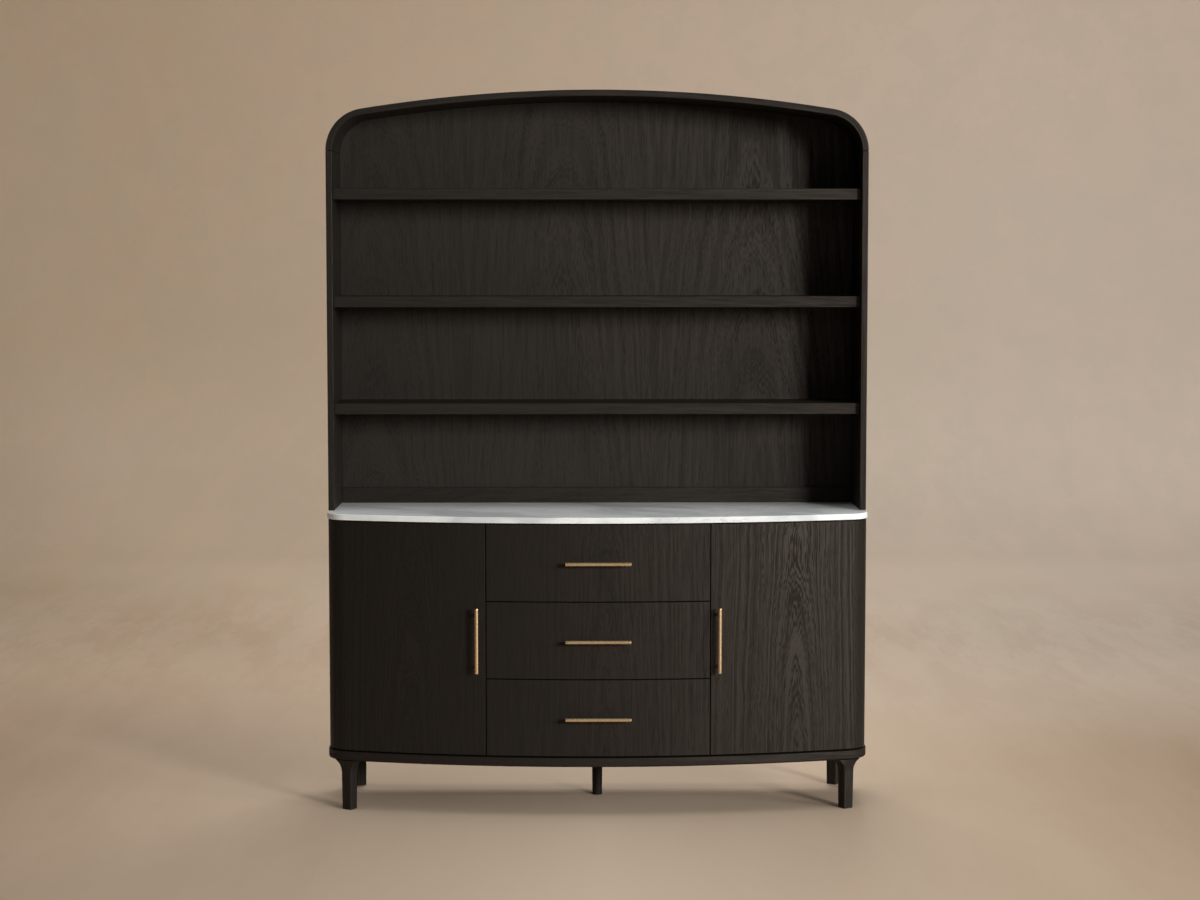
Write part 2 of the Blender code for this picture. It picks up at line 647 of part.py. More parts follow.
def make_drawer(word, bottom):
    half = SEAM_X - FRONT_GAP / 2
    outer = bow_points(0.0, -half, half)
    inner = bow_points(-FRONT_PANEL, -half, half)
    front = outline_solid("drawer_front_" + word, outer + list(reversed(inner)), FRONT_HEIGHT,
                          OAK, middle_height(bottom, bottom + FRONT_HEIGHT))
    round_edges(front, EDGE_ROUNDING)
    smooth(front)
    offset = -(FRONT_PANEL + SEAT_GAP)
    low = bottom + BOX_LIFT
    walls = bow_points(offset, -BOX_HALF, BOX_HALF) + [(BOX_HALF, BOX_BACK),
                                                       (-BOX_HALF, BOX_BACK)]
    tray = outline_solid("drawer_box_" + word, walls, BOX_HEIGHT, CARCASS,
                         middle_height(low, low + BOX_HEIGHT))
    room = BOX_HALF - BOX_WALL
    hollow = bow_points(offset - BOX_WALL, -room, room) + [(room, BOX_BACK - BOX_WALL),
                                                           (-room, BOX_BACK - BOX_WALL)]
    space = outline_solid("box_space_" + word, hollow, BOX_HEIGHT, CARCASS,
                          middle_height(low + BOX_FLOOR, low + BOX_FLOOR + BOX_HEIGHT))
    combine(tray, as_cutter(space), "DIFFERENCE")
    centre = bottom + FRONT_HEIGHT / 2
    bar_y = bow_y(0.0) - PULL_STAND
    stand = bow_y(PULL_POST_SPACING / 2 - PULL_POST_RADIUS) - bar_y
    grip = pull("drawer_pull_" + word, (0, bar_y, centre), (0, math.pi / 2, 0), stand)
    moving = [front, tray, grip]
    slide_low = low + SLIDE_LIFT
    slide_high = slide_low + SLIDE_HEIGHT
    fit = SLIDE_SHEET + SLIDE_PLAY
    for side_word, side in SIDES:
        wall = side * (PARTITION_INNER - SEAT_GAP)
        make_runner("slide_fixed_%s_%s" % (word, side_word),
                    channel(wall, wall - side * SLIDE_LIP, slide_low, slide_high, -side))
        web = side * (BOX_HALF + SEAT_GAP)
        lip = side * (PARTITION_INNER - SEAT_GAP - SLIDE_SHEET - SLIDE_PLAY)
        moving.append(make_runner("slide_moving_%s_%s" % (word, side_word),
                                  channel(web, lip, slide_low + fit, slide_high - fit, side)))
    carry(joint_empty("drawer_%s_runner" % word, (0, FRONT, centre)), moving)


# Hutch

def arch_line(inset):
    """The arch's line from its left seam to its right one, moved inwards by the inset."""
    corner = HUTCH_CORNER_RADIUS - inset
    crown = CROWN_RADIUS - inset
    right = []
    for k in range(1, CROWN_STEPS + 1):
        turn = CROWN_END * k / CROWN_STEPS
        right.append((crown * math.sin(turn), CROWN_CENTRE_Z + crown * math.cos(turn)))
    for k in range(1, ARCH_CORNER_STEPS + 1):
        turn = CROWN_END + (math.pi / 2 - CROWN_END) * k / ARCH_CORNER_STEPS
        right.append((ARCH_CORNER_X + corner * math.sin(turn),
                      ARCH_CORNER_Z + corner * math.cos(turn)))
    return mirrored(right) + [(0.0, CROWN_CENTRE_Z + crown)] + right


def upright(name, outline, front, back, coat):
    """A solid drawn in x and z between two values of y."""
    return outline_solid(name, outline, back - front, coat, (0, (front + back) / 2, 0),
                         (math.pi / 2, 0, 0))


def make_hutch():
    for word, side in SIDES:
        board = box("hutch_side_" + word, span(side, HUTCH_INNER, HALF_WIDTH),
                    (HUTCH_FRONT, BACK), (HUTCH_FOOT, ARCH_CORNER_Z - SEAT_GAP), OAK)
        round_edges(board, HUTCH_ARRIS, 2)
    arch = upright("hutch_arch", arch_line(0.0) + list(reversed(arch_line(HUTCH_BOARD))),
                   HUTCH_FRONT, BACK, OAK)
    round_edges(arch, HUTCH_ARRIS, 2)
    smooth(arch)
    inner = HUTCH_INNER - SEAT_GAP
    behind = HUTCH_BACK_FACE + HUTCH_BACK_THICKNESS
    outline = arch_line(HUTCH_BOARD + SEAT_GAP) + [(inner, HUTCH_FOOT), (-inner, HUTCH_FOOT)]
    upright("hutch_back", outline, HUTCH_BACK_FACE, behind, OAK)
    face = HUTCH_BACK_FACE - SEAT_GAP
    round_edges(box("hutch_back_rail", (-inner, inner), (face - HUTCH_RAIL_THICKNESS, face),
                    (HUTCH_FOOT, WORKTOP_HEIGHT + HUTCH_RAIL_HEIGHT), OAK), EDGE_ROUNDING)
    for k, word in enumerate(("lower", "middle", "upper")):
        top = WORKTOP_HEIGHT + HUTCH_SHELF_PITCH * (k + 1)
        shelf = box("hutch_shelf_" + word, (-inner, inner),
                    (HUTCH_FRONT + HUTCH_SHELF_SETBACK, face),
                    (top - HUTCH_SHELF_THICKNESS, top), OAK)
        round_edges(shelf, EDGE_ROUNDING)


make_marble()
make_base_frame()
make_legs()
make_carcass()
make_inner_shelves()
for side_name, side_sign in SIDES:
    make_door(side_name, side_sign)
    make_hinge_plates(side_name, side_sign)
for level, level_name in enumerate(("bottom", "middle", "top")):
    make_drawer(level_name, FRONT_BOTTOM + level * (FRONT_HEIGHT + FRONT_GAP))
make_hutch()
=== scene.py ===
"""The looks of the bow-front hutch cabinet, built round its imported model. Metres, +Z up, the
front faces -Y. Every piece of wood and brass carries a "grain" attribute: its place across,
through and along the grain, in metres, so that the figure runs on round corners and over seams."""
import math

import bmesh
import bpy
from mathutils import Matrix, Vector


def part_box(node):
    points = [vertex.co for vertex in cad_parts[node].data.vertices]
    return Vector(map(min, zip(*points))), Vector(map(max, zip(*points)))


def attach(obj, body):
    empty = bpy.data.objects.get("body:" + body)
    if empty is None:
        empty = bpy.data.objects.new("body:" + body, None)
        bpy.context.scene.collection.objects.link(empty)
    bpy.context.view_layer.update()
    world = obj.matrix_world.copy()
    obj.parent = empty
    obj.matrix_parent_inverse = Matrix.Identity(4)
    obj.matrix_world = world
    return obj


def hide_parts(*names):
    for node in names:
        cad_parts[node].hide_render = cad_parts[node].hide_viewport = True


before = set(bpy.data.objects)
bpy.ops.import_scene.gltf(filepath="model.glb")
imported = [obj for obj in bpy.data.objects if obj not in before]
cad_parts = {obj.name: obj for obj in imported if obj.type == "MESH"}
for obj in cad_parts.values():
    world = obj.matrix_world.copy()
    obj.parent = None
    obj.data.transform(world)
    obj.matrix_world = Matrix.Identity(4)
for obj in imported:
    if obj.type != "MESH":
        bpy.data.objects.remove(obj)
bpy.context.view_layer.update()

# Sizes, as in the CAD source
WIDTH = 1.676
DEPTH = 0.508
HEIGHT = 2.221
WORKTOP_HEIGHT = 0.920
SEAT_GAP = 0.0003
MARBLE_THICKNESS = 0.0185
OVERHANG = 0.004
BOW_RADIUS = 2.85
CORNER_RADIUS = 0.080
RAIL_BOTTOM = 0.155
RAIL_TOP = 0.183
RAIL_WIDTH = 0.052
RAIL_ROUNDING = 0.006
LEG_SIZE = 0.036
LEG_FOOT_SIZE = 0.033
LEG_TURN = math.radians(31)
LEG_SIDE_SETBACK = 0.068
LEG_AHEAD_OF_CORNER = 0.0576
REAR_LEG_INSET = 0.027
LEG_ARRIS = 0.0025
FOOT_CHAMFER = 0.0012
FLARE_HEIGHT = 0.042
FLARE_SIDE = 0.026
FLARE_OUT = 0.011
FLARE_IN = 0.012
FLARE_END = math.radians(72)
CENTRE_LEG_SETBACK = 0.333
CENTRE_LEG_TOP_RADIUS = 0.017
CENTRE_LEG_FOOT_RADIUS = 0.0155
PANEL = 0.018
SIDE_PANEL = 0.022
BACK_PANEL = 0.010
SHELF_SETBACK = 0.025
INNER_SHELF_TOP = 0.552
FRONT_PANEL = 0.022
GAP_OVER_RAIL = 0.005
GAP_UNDER_MARBLE = 0.0035
FRONT_GAP = 0.003
DRAWER_SHARE = 0.4082
SWING_CLEARANCE = 0.0045
DOOR_SIDE_RUN = 0.026
DOOR_END_GAP = 0.0025
SLIDE_SPACE = 0.0127
BOX_LIFT = 0.024
BOX_DROP = 0.0506
BOX_WALL = 0.012
BOX_FLOOR = 0.008
BOX_BACK_INSET = 0.055
PULL_LENGTH = 0.200
PULL_RADIUS = 0.0062
PULL_STAND = 0.026
PULL_POST_RADIUS = 0.0045
PULL_POST_SPACING = 0.160
PULL_CAP = 0.008
PULL_GROOVE = 0.0007
DOOR_PULL_FROM_SEAM = 0.0245
HUTCH_FRONT_SETBACK = 0.225
HUTCH_BOARD = 0.0195
HUTCH_CORNER_RADIUS = 0.130
CROWN_RADIUS = 4.58
HUTCH_BACK_INSET = 0.025
HUTCH_BACK_THICKNESS = 0.012

# Places worked out from them
HALF_WIDTH = WIDTH / 2
HALF = HALF_WIDTH - OVERHANG
FRONT = (PULL_STAND + PULL_RADIUS - OVERHANG - DEPTH) / 2
BACK = FRONT + DEPTH
BOW_CENTRE_Y = FRONT + OVERHANG + BOW_RADIUS
CORNER_X = HALF - CORNER_RADIUS
CORNER_Y = BOW_CENTRE_Y - math.sqrt((BOW_RADIUS - CORNER_RADIUS) ** 2 - CORNER_X ** 2)
TANGENT = math.asin(CORNER_X / (BOW_RADIUS - CORNER_RADIUS))
LEG_X = HALF_WIDTH - LEG_SIDE_SETBACK
LEG_TOP = RAIL_BOTTOM - SEAT_GAP
CENTRE_LEG_Y = FRONT + CENTRE_LEG_SETBACK
MARBLE_BOTTOM = WORKTOP_HEIGHT - MARBLE_THICKNESS
CARCASS_BOTTOM = RAIL_TOP + SEAT_GAP
FLOOR_TOP = CARCASS_BOTTOM + PANEL
DOOR_END = CORNER_Y + DOOR_SIDE_RUN
SIDE_FRONT = DOOR_END + DOOR_END_GAP
SIDE_INNER = HALF - SIDE_PANEL
BACK_PANEL_FACE = BACK - BACK_PANEL
INNER_OFFSET = -(FRONT_PANEL + SWING_CLEARANCE)
SEAM_X = HALF_WIDTH * DRAWER_SHARE
DOOR_NEAR_X = SEAM_X + FRONT_GAP / 2
DRAWER_HALF = SEAM_X - FRONT_GAP / 2
FRONT_BOTTOM = RAIL_TOP + GAP_OVER_RAIL
FRONT_TOP = MARBLE_BOTTOM - GAP_UNDER_MARBLE
FRONT_HEIGHT = (FRONT_TOP - FRONT_BOTTOM - 2 * FRONT_GAP) / 3
PARTITION_INNER = SEAM_X - PANEL / 2
PARTITION_OUTER = SEAM_X + PANEL / 2
BOX_HALF = PARTITION_INNER - SLIDE_SPACE
BOX_HEIGHT = FRONT_HEIGHT - BOX_LIFT - BOX_DROP
BOX_OFFSET = -(FRONT_PANEL + SEAT_GAP)
BOX_BACK = BACK - BOX_BACK_INSET
HUTCH_FRONT = FRONT + HUTCH_FRONT_SETBACK
HUTCH_INNER = HALF_WIDTH - HUTCH_BOARD
HUTCH_BACK_FACE = BACK - HUTCH_BACK_INSET
HUTCH_FOOT = WORKTOP_HEIGHT + SEAT_GAP
CROWN_CENTRE_Z = HEIGHT - CROWN_RADIUS
ARCH_CORNER_X = HALF_WIDTH - HUTCH_CORNER_RADIUS
ARCH_CORNER_Z = CROWN_CENTRE_Z + math.sqrt(
    (CROWN_RADIUS - HUTCH_CORNER_RADIUS) ** 2 - ARCH_CORNER_X ** 2)
CROWN_END = math.asin(ARCH_CORNER_X / (CROWN_RADIUS - HUTCH_CORNER_RADIUS))

SIDES = (("left", -1), ("right", 1))
LEVELS = ("bottom", "middle", "top")

# How finely the curves are drawn
BOW_STEPS = 56
CORNER_STEPS = 36
CROWN_STEPS = 60
ARCH_CORNER_STEPS = 36
RAIL_ROUNDING_STEPS = 8
LEG_ARRIS_STEPS = 4
FLARE_STEPS = 24
FOOT_STEPS = 4
PULL_EDGE_STEPS = 4
BEND_STEPS = 24
TURNED_SEGMENTS = 48
POST_SEGMENTS = 32

# How the edges are eased
EASED_EDGE = 0.0011
EASED_SEGMENTS = 3
ARRIS = 0.0022
ARRIS_SEGMENTS = 4
RAIL_EDGE = 0.0010
SHELF_EDGE = 0.0016
HUTCH_BACK_EDGE = 0.0006
CARCASS_EDGE = 0.0007
BOX_EDGE = 0.0008
BOX_BOTTOM_EDGE = 0.0004
PULL_EDGE = 0.0009
SHARP_ANGLE = math.radians(42)

# The oak's figure: rings round a pith that lies behind the veneer, and its tones
LEAF_HALF = 0.30
LEAF_SWAY = 0.12
LEAF_WOBBLE = 0.016
PITH_DEPTH = 0.020
PITH_SLOPE = 0.066
PITH_WANDER = 0.045
LEAST_DEPTH = 0.016
RING_PITCH = 0.0025
RING_JITTER = 2.6
RING_SWELL = 3.0
BAND_TONE = 1.1
PORE_ROW_TONE = -1.5
STREAK_TONE = 1.9
PATCH_TONE = 0.7
FINE_TONE = 1.1
TONE_CONTRAST = 0.84
PORE_SHARE = 0.75
PORE_DARKNESS = 0.4
PORE_ROUGHNESS = 0.14
OAK_RELIEF = 0.00016
OAK_SPECULAR = 0.35
OAK_SHEEN = (1.0, 0.865, 0.755)

# The other materials' measures
MARBLE_SPECULAR = 0.26
VEIN_DIRECTION = (0.3, 0.2, 0.62)
CRYSTALS_PER_METRE = 240.0
FINE_RELIEF = 0.00002

# Colours
OAK_TONES = ((0.0008, 0.0006, 0.0004), (0.0032, 0.0027, 0.0020), (0.0100, 0.0082, 0.0062))
CARCASS_TONES = ((0.0030, 0.0024, 0.0018), (0.0090, 0.0074, 0.0058), (0.0220, 0.0180, 0.0140))
MARBLE_GREY = (0.560, 0.585, 0.595)
MARBLE_CLOUD = (0.730, 0.755, 0.755)
MARBLE_WHITE = (0.800, 0.820, 0.810)
MARBLE_HAZE = (0.56, 0.58, 0.59)
BROAD_VEIN = (0.42, 0.44, 0.46)
FINE_VEIN = (0.48, 0.50, 0.52)
BRASS_PALE = (0.82, 0.62, 0.38)
BRASS_DEEP = (0.74, 0.55, 0.33)
STEEL_DARK = (0.50, 0.51, 0.53)
STEEL_PALE = (0.62, 0.63, 0.64)
LAMP_WHITE = (1.0, 0.995, 0.975)
WARM_WHITE = (1.0, 0.99, 0.97)


# Materials

class Nodes:
    """The nodes of a material or world, and short calls that add to them."""

    def __init__(self, owner, shader="Principled BSDF"):
        owner.use_nodes = True
        self.owner = owner
        self.tree = owner.node_tree
        self.shader = self.tree.nodes[shader]

    def plug(self, socket, value):
        """Links the socket to an output, or sets its own number or colour."""
        if isinstance(value, bpy.types.NodeSocket):
            self.tree.links.new(value, socket)
        elif socket.type == "RGBA":
            socket.default_value = (*value, 1.0)
        else:
            socket.default_value = value

    def set(self, name, value):
        self.plug(self.shader.inputs[name], value)

    def add(self, kind, inputs=(), **settings):
        """A new node; its inputs go by name or number."""
        node = self.tree.nodes.new("ShaderNode" + kind)
        for name, value in settings.items():
            setattr(node, name, value)
        for socket, value in dict(inputs).items():
            self.plug(node.inputs[socket], value)
        return node

    def math(self, operation, *values):
        return self.add("Math", enumerate(values), operation=operation).outputs[0]

    def plus(self, rest, value, scale):
        """rest + value * scale"""
        return self.math("MULTIPLY_ADD", value, scale, rest)

    def noise(self, vector, scales, detail=2.0, roughness=0.5, distortion=0.0):
        """Noise from 0 to 1, with a scale of its own in each direction."""
        stretched = self.add("VectorMath", {0: vector, 1: scales}, operation="MULTIPLY")
        return self.add("TexNoise", {
            "Vector": stretched.outputs[0], "Scale": 1.0, "Detail": detail,
            "Roughness": roughness, "Distortion": distortion}).outputs["Fac"]

    def wave(self, vector, scales, detail):
        """The same noise, about 0."""
        return self.math("SUBTRACT", self.noise(vector, scales, detail), 0.5)

    def rings(self, value, scale, detail, roughness):
        """Noise along one line, for rings of uneven width and strength."""
        return self.add("TexNoise", {
            "W": value, "Scale": scale, "Detail": detail, "Roughness": roughness},
            noise_dimensions="1D").outputs["Fac"]

    def spread(self, value, low, high, out_low=0.0, out_high=1.0):
        """A smooth step from out_low to out_high while the value goes from low to high."""
        return self.add("MapRange", {
            "Value": value, "From Min": low, "From Max": high, "To Min": out_low,
            "To Max": out_high}, interpolation_type="SMOOTHSTEP").outputs["Result"]

    def ramp(self, value, *stops):
        node = self.add("ValToRGB", {"Fac": value})
        elements = node.color_ramp.elements
        while len(elements) < len(stops):
            elements.new(0.5)
        for element, (place, colour) in zip(elements, stops):
            element.position = place
            element.color = (*colour, 1.0)
        return node.outputs["Color"]

    def mix(self, share, first, second):
        return self.add("Mix", {"Factor": share, "A": first, "B": second},
                        data_type="RGBA").outputs["Result"]

    def bump(self, height, depth):
        self.set("Normal", self.add("Bump", {"Distance": depth, "Height": height}).outputs[0])

    def split(self, vector):
        return self.add("SeparateXYZ", {0: vector}).outputs

    def object_place(self):
        return self.add("TexCoord").outputs["Object"]

    def grain(self):
        return self.add("Attribute", attribute_name="grain").outputs["Vector"]

    def grain_along_x(self):
        """The grain of a flat CAD node, which has no attribute, from its own place."""
        x, y, z = self.split(self.object_place())
        return self.add("CombineXYZ", {0: y, 1: z, 2: x}).outputs[0]


def oak(name, tones, roughness, figure, specular=OAK_SPECULAR, streaky=STREAK_TONE,
        grain=Nodes.grain):
    """Stained oak veneer: rings cut flat into cathedrals, streaks, and open pores. Its
    roughness is about a middle tone's, and its figure says how strongly the rings show."""
    m = Nodes(bpy.data.materials.new(name))
    dark, middle, light = tones
    place = grain(m)
    across, through, along = m.split(place)

    # How far the cut lies from the pith, in leaves that mirror each other
    wobble = m.math("MULTIPLY", m.wave(place, (14.0, 14.0, 4.0), 2.0), LEAF_WOBBLE)
    drift = m.plus(wobble, m.wave(place, (1.9, 1.9, 0.35), 2.0), LEAF_SWAY)
    folded = m.math("PINGPONG", m.math("ADD", across, drift), LEAF_HALF)
    wander = m.math("MULTIPLY", m.wave(place, (1.3, 1.3, 1.7), 2.0), PITH_WANDER)
    depth = m.math("ADD", m.plus(PITH_DEPTH, along, PITH_SLOPE), wander)
    depth = m.math("MAXIMUM", m.math("ADD", depth, through), LEAST_DEPTH)
    radius = m.math("SQRT", m.plus(m.math("MULTIPLY", depth, depth), folded, folded))

    # Rings of uneven width, each with a row of pores
    jitter = m.math("MULTIPLY", m.wave(place, (210.0, 210.0, 12.0), 1.0), RING_JITTER)
    ring = m.plus(jitter, radius, 1.0 / RING_PITCH)
    ring = m.plus(ring, m.wave(place, (24.0, 24.0, 2.4), 1.0), RING_SWELL)
    bands = m.spread(m.rings(ring, 0.21, 3.0, 0.70), 0.36, 0.64)
    phase = m.math("ABSOLUTE", m.math("SUBTRACT", m.math("FRACT", ring), 0.5))
    heavy = m.rings(m.math("ADD", ring, 31.7), 0.31, 1.0, 0.5)
    rows = m.math("MULTIPLY", m.spread(phase, 0.18, 0.36),
                  m.spread(heavy, 0.36, 0.62, 0.30, 1.0))
    lines = m.plus(m.plus(-0.10, bands, BAND_TONE), rows, PORE_ROW_TONE)
    strength = m.spread(m.noise(place, (3.4, 3.4, 0.9)), 0.32, 0.66, 0.25, 1.0)
    strength = m.math("MULTIPLY", strength, figure)

    # Streaks, patches and fine fibres over them
    streak = m.noise(place, (150.0, 150.0, 7.0), 3.0, 0.66)
    fine = m.noise(place, (620.0, 620.0, 9.0), 2.0, 0.6)
    patch = m.noise(place, (4.2, 4.2, 1.3), 3.0, 0.55)
    tone = m.math("MULTIPLY", m.math("SUBTRACT", streak, 0.5), streaky)
    tone = m.plus(tone, lines, strength)
    tone = m.plus(tone, m.math("SUBTRACT", patch, 0.5), PATCH_TONE)
    tone = m.plus(tone, m.math("SUBTRACT", fine, 0.5), FINE_TONE)
    tone = m.plus(0.5, tone, TONE_CONTRAST)

    # Open pores, most of them in the darker rings
    pores = m.math("MULTIPLY", m.spread(m.noise(place, (1300.0, 1300.0, 32.0), 1.0), 0.56, 0.70),
                   m.spread(tone, 0.25, 0.6, 1.0, 0.3))
    colour = m.ramp(tone, (0.0, dark), (0.5, middle), (1.0, light))
    m.set("Base Color", m.mix(m.math("MULTIPLY", pores, PORE_SHARE), colour,
                              [PORE_DARKNESS * share for share in dark]))
    rough = m.spread(tone, 0.10, 0.90, roughness + 0.15, roughness - 0.11)
    m.set("Roughness", m.plus(rough, pores, PORE_ROUGHNESS))
    m.set("Specular IOR Level", specular)
    m.set("Specular Tint", OAK_SHEEN)
    raised = m.math("SUBTRACT", m.math("MULTIPLY", tone, 0.4), pores)
    m.bump(m.plus(raised, streak, 0.4), OAK_RELIEF)
    return m.owner


def marble(name):
    """Honed white marble with soft grey clouds and thin veins that wander across it."""
    m = Nodes(bpy.data.materials.new(name))
    place = m.add("Mapping", {"Vector": m.object_place(),
                              "Rotation": VEIN_DIRECTION}).outputs["Vector"]
    cloud = m.noise(place, (2.0, 5.5, 5.5), 4.0, 0.5, 0.6)
    haze = m.noise(place, (8.0, 16.0, 16.0), 4.0, 0.55, 0.4)
    colour = m.ramp(cloud, (0.38, MARBLE_GREY), (0.47, MARBLE_CLOUD), (0.56, MARBLE_WHITE))
    colour = m.mix(m.spread(haze, 0.45, 0.65, 0.0, 0.28), colour, MARBLE_HAZE)
    for scales, width, depth, shade in (((1.7, 5.0, 5.0), 0.018, 0.50, BROAD_VEIN),
                                        ((4.2, 10.0, 10.0), 0.012, 0.34, FINE_VEIN)):
        line = m.noise(place, scales, 6.0, 0.55, 1.1)
        away = m.math("ABSOLUTE", m.math("SUBTRACT", line, 0.5))
        vein = m.spread(away, 0.0, width, depth, 0.0)
        worn = m.spread(m.noise(place, (3.0, 3.0, 3.0)), 0.42, 0.62)
        colour = m.mix(m.math("MULTIPLY", vein, worn), colour, shade)
    m.set("Base Color", colour)
    m.set("Roughness", m.spread(haze, 0.3, 0.7, 0.30, 0.40))
    m.set("Specular IOR Level", MARBLE_SPECULAR)
    m.bump(m.noise(place, (700.0, 700.0, 700.0)), FINE_RELIEF)
    return m.owner


def brushed_brass(name):
    """Brass with fine brushing along its length, and slight tarnish in clouds."""
    m = Nodes(bpy.data.materials.new(name))
    place = m.grain()
    brushed = m.noise(place, (2600.0, 2600.0, 60.0), 2.0, 0.6)
    clouds = m.noise(place, (90.0, 90.0, 90.0), 3.0, 0.6)
    m.set("Base Color", m.mix(m.spread(clouds, 0.3, 0.7), BRASS_PALE, BRASS_DEEP))
    m.set("Metallic", 1.0)
    m.set("Roughness", m.plus(m.spread(brushed, 0.25, 0.75, 0.21, 0.29), clouds, 0.06))
    m.bump(brushed, FINE_RELIEF)
    return m.owner


def plated_steel(name):
    """Zinc-plated steel: faint crystal patches and rolling lines."""
    m = Nodes(bpy.data.materials.new(name))
    place = m.object_place()
    crystals = m.add("TexVoronoi", {"Vector": place, "Scale": CRYSTALS_PER_METRE}).outputs["Color"]
    patches = m.split(crystals)[0]
    lines = m.noise(place, (1400.0, 20.0, 1400.0), 2.0, 0.6)
    m.set("Base Color", m.mix(patches, STEEL_DARK, STEEL_PALE))
    m.set("Metallic", 1.0)
    m.set("Roughness", m.plus(m.plus(0.26, patches, 0.08), lines, 0.14))
    m.bump(lines, FINE_RELIEF)
    return m.owner


FIGURED_OAK = oak("oak_figured", OAK_TONES, roughness=0.61, figure=1.4)
OAK = oak("oak_veneer", OAK_TONES, roughness=0.61, figure=0.6)
STRAIGHT_OAK = oak("oak_straight", OAK_TONES, roughness=0.60, figure=0.26, specular=0.38)
PANEL_OAK = oak("oak_panel", OAK_TONES, roughness=0.63, figure=0.36, specular=0.46, streaky=0.9)
CARCASS = oak("oak_inside", CARCASS_TONES, roughness=0.62, figure=0.4)
CARCASS_ALONG_X = oak("oak_inside_lengthwise", CARCASS_TONES, roughness=0.62, figure=0.4,
                      grain=Nodes.grain_along_x)
MARBLE = marble("marble")
BRASS = brushed_brass("brass")
STEEL = plated_steel("steel")


# Meshes

def add_object(name, data):
    made = bpy.data.objects.new(name, data)
    bpy.context.scene.collection.objects.link(made)
    return made


def closed_mesh(name, points, faces):
    """A mesh with all its faces turned outwards."""
    mesh = bpy.data.meshes.new(name)
    mesh.from_pydata(points, [], faces)
    shape = bmesh.new()
    shape.from_mesh(mesh)
    bmesh.ops.recalc_face_normals(shape, faces=shape.faces)
    shape.to_mesh(mesh)
    shape.free()
    return mesh


def dress(name, mesh, grain, coat, body, slot, *nodes, edge=0.0, segments=EASED_SEGMENTS):
    """Makes a mesh a piece of the cabinet. Its grain is a list, or a function of a point."""
    if callable(grain):
        grain = [grain(vertex.co) for vertex in mesh.vertices]
    layer = mesh.attributes.new("grain", "FLOAT_VECTOR", "POINT")
    layer.data.foreach_set("vector", [number for place in grain for number in place])
    mesh.materials.clear()
    mesh.materials.append(coat)
    mesh.shade_smooth()
    made = add_object(name, mesh)
    if edge:
        bevel = made.modifiers.new("eased_edges", "BEVEL")
        bevel.width = edge
        bevel.segments = segments
        bevel.limit_method = "ANGLE"
        bevel.angle_limit = SHARP_ANGLE
        bevel.miter_outer = "MITER_ARC"
        weigh = made.modifiers.new("weighted_normals", "WEIGHTED_NORMAL")
        weigh.weight = 100
    else:
        mesh.set_sharp_from_angle(angle=SHARP_ANGLE)
    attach(made, body)
    if nodes:
        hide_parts(*nodes)


def piece(name, points, faces, grain, *dressing, **easing):
    dress(name, closed_mesh(name, points, faces), grain, *dressing, **easing)


def quarter_turn(steps):
    """The sines and cosines from 0 to 90 degrees."""
    turns = [math.pi / 2 * k / steps for k in range(steps + 1)]
    return [(math.sin(turn), math.cos(turn)) for turn in turns]


def arc(centre_x, centre_y, radius, start, end, steps):
    """Points on a circle. Angles count from +y, or from -y where the radius is negative."""
    points = []
    for k in range(steps + 1):
        turn = start + (end - start) * k / steps
        points.append((centre_x + abs(radius) * math.sin(turn),
                       centre_y + radius * math.cos(turn)))
    return points


def mirrored(right):
    """The whole of a line from its right half, which starts in the middle."""
    return [(-x, y) for x, y in reversed(right[1:])] + right


def front_row(offset, x_from):
    """The right half of the bowed front from x_from, round the corner to the side."""
    radius = BOW_RADIUS + offset
    bow = arc(0.0, BOW_CENTRE_Y, -radius, math.asin(x_from / radius), TANGENT, BOW_STEPS)
    corner = arc(CORNER_X, CORNER_Y, -(CORNER_RADIUS + offset), TANGENT, math.pi / 2,
                 CORNER_STEPS)
    return bow + corner[1:]


def whole_row(offset):
    return mirrored(front_row(offset, 0.0))


def bow_row(offset, half):
    """The bow between -half and half."""
    radius = BOW_RADIUS + offset
    end = math.asin(half / radius)
    return arc(0.0, BOW_CENTRE_Y, -radius, -end, end, 2 * BOW_STEPS)


def lengths(row, start):
    """How far along the line each of its points is."""
    found = [start]
    for here, ahead in zip(row, row[1:]):
        found.append(found[-1] + math.dist(here, ahead))
    return found


def joined_rings(steps, count):
    """Faces between rings of count points each, and a cap on either end."""
    faces = []
    for i in range(steps - 1):
        for j in range(count):
            after = (j + 1) % count
            faces.append((i * count + j, i * count + after,
                          (i + 1) * count + after, (i + 1) * count + j))
    return faces + [tuple(range(count)), tuple(range((steps - 1) * count, steps * count))]


def sweep(row_of, profile):
    """A profile of (offset, level) pairs drawn along the line that row_of(offset) gives."""
    rows = [row_of(offset) for offset, level in profile]
    points = [(*place, level) for places in zip(*rows)
              for place, (offset, level) in zip(places, profile)]
    return points, joined_rings(len(rows[0]), len(profile))


def prism(outline, low, high):
    """A flat outline in x and y between two heights."""
    points = [(x, y, z) for z in (low, high) for x, y in outline]
    return points, joined_rings(2, len(outline))


def turned_solid(profile, segments):
    """A solid of revolution about z; the profile's (radius, height) run from end to end."""
    points = [(0.0, 0.0, profile[0][1])]
    for radius, height in profile[1:-1]:
        for k in range(segments):
            turn = math.tau * k / segments
            points.append((radius * math.cos(turn), radius * math.sin(turn), height))
    points.append((0.0, 0.0, profile[-1][1]))
    faces = []
    last = len(points) - 1
    for k in range(segments):
        after = (k + 1) % segments
        faces.append((0, 1 + after, 1 + k))
        faces.append((last, last - segments + k, last - segments + after))
        for i in range(len(profile) - 3):
            base = 1 + i * segments
            faces.append((base + k, base + after, base + segments + after, base + segments + k))
    return points, faces


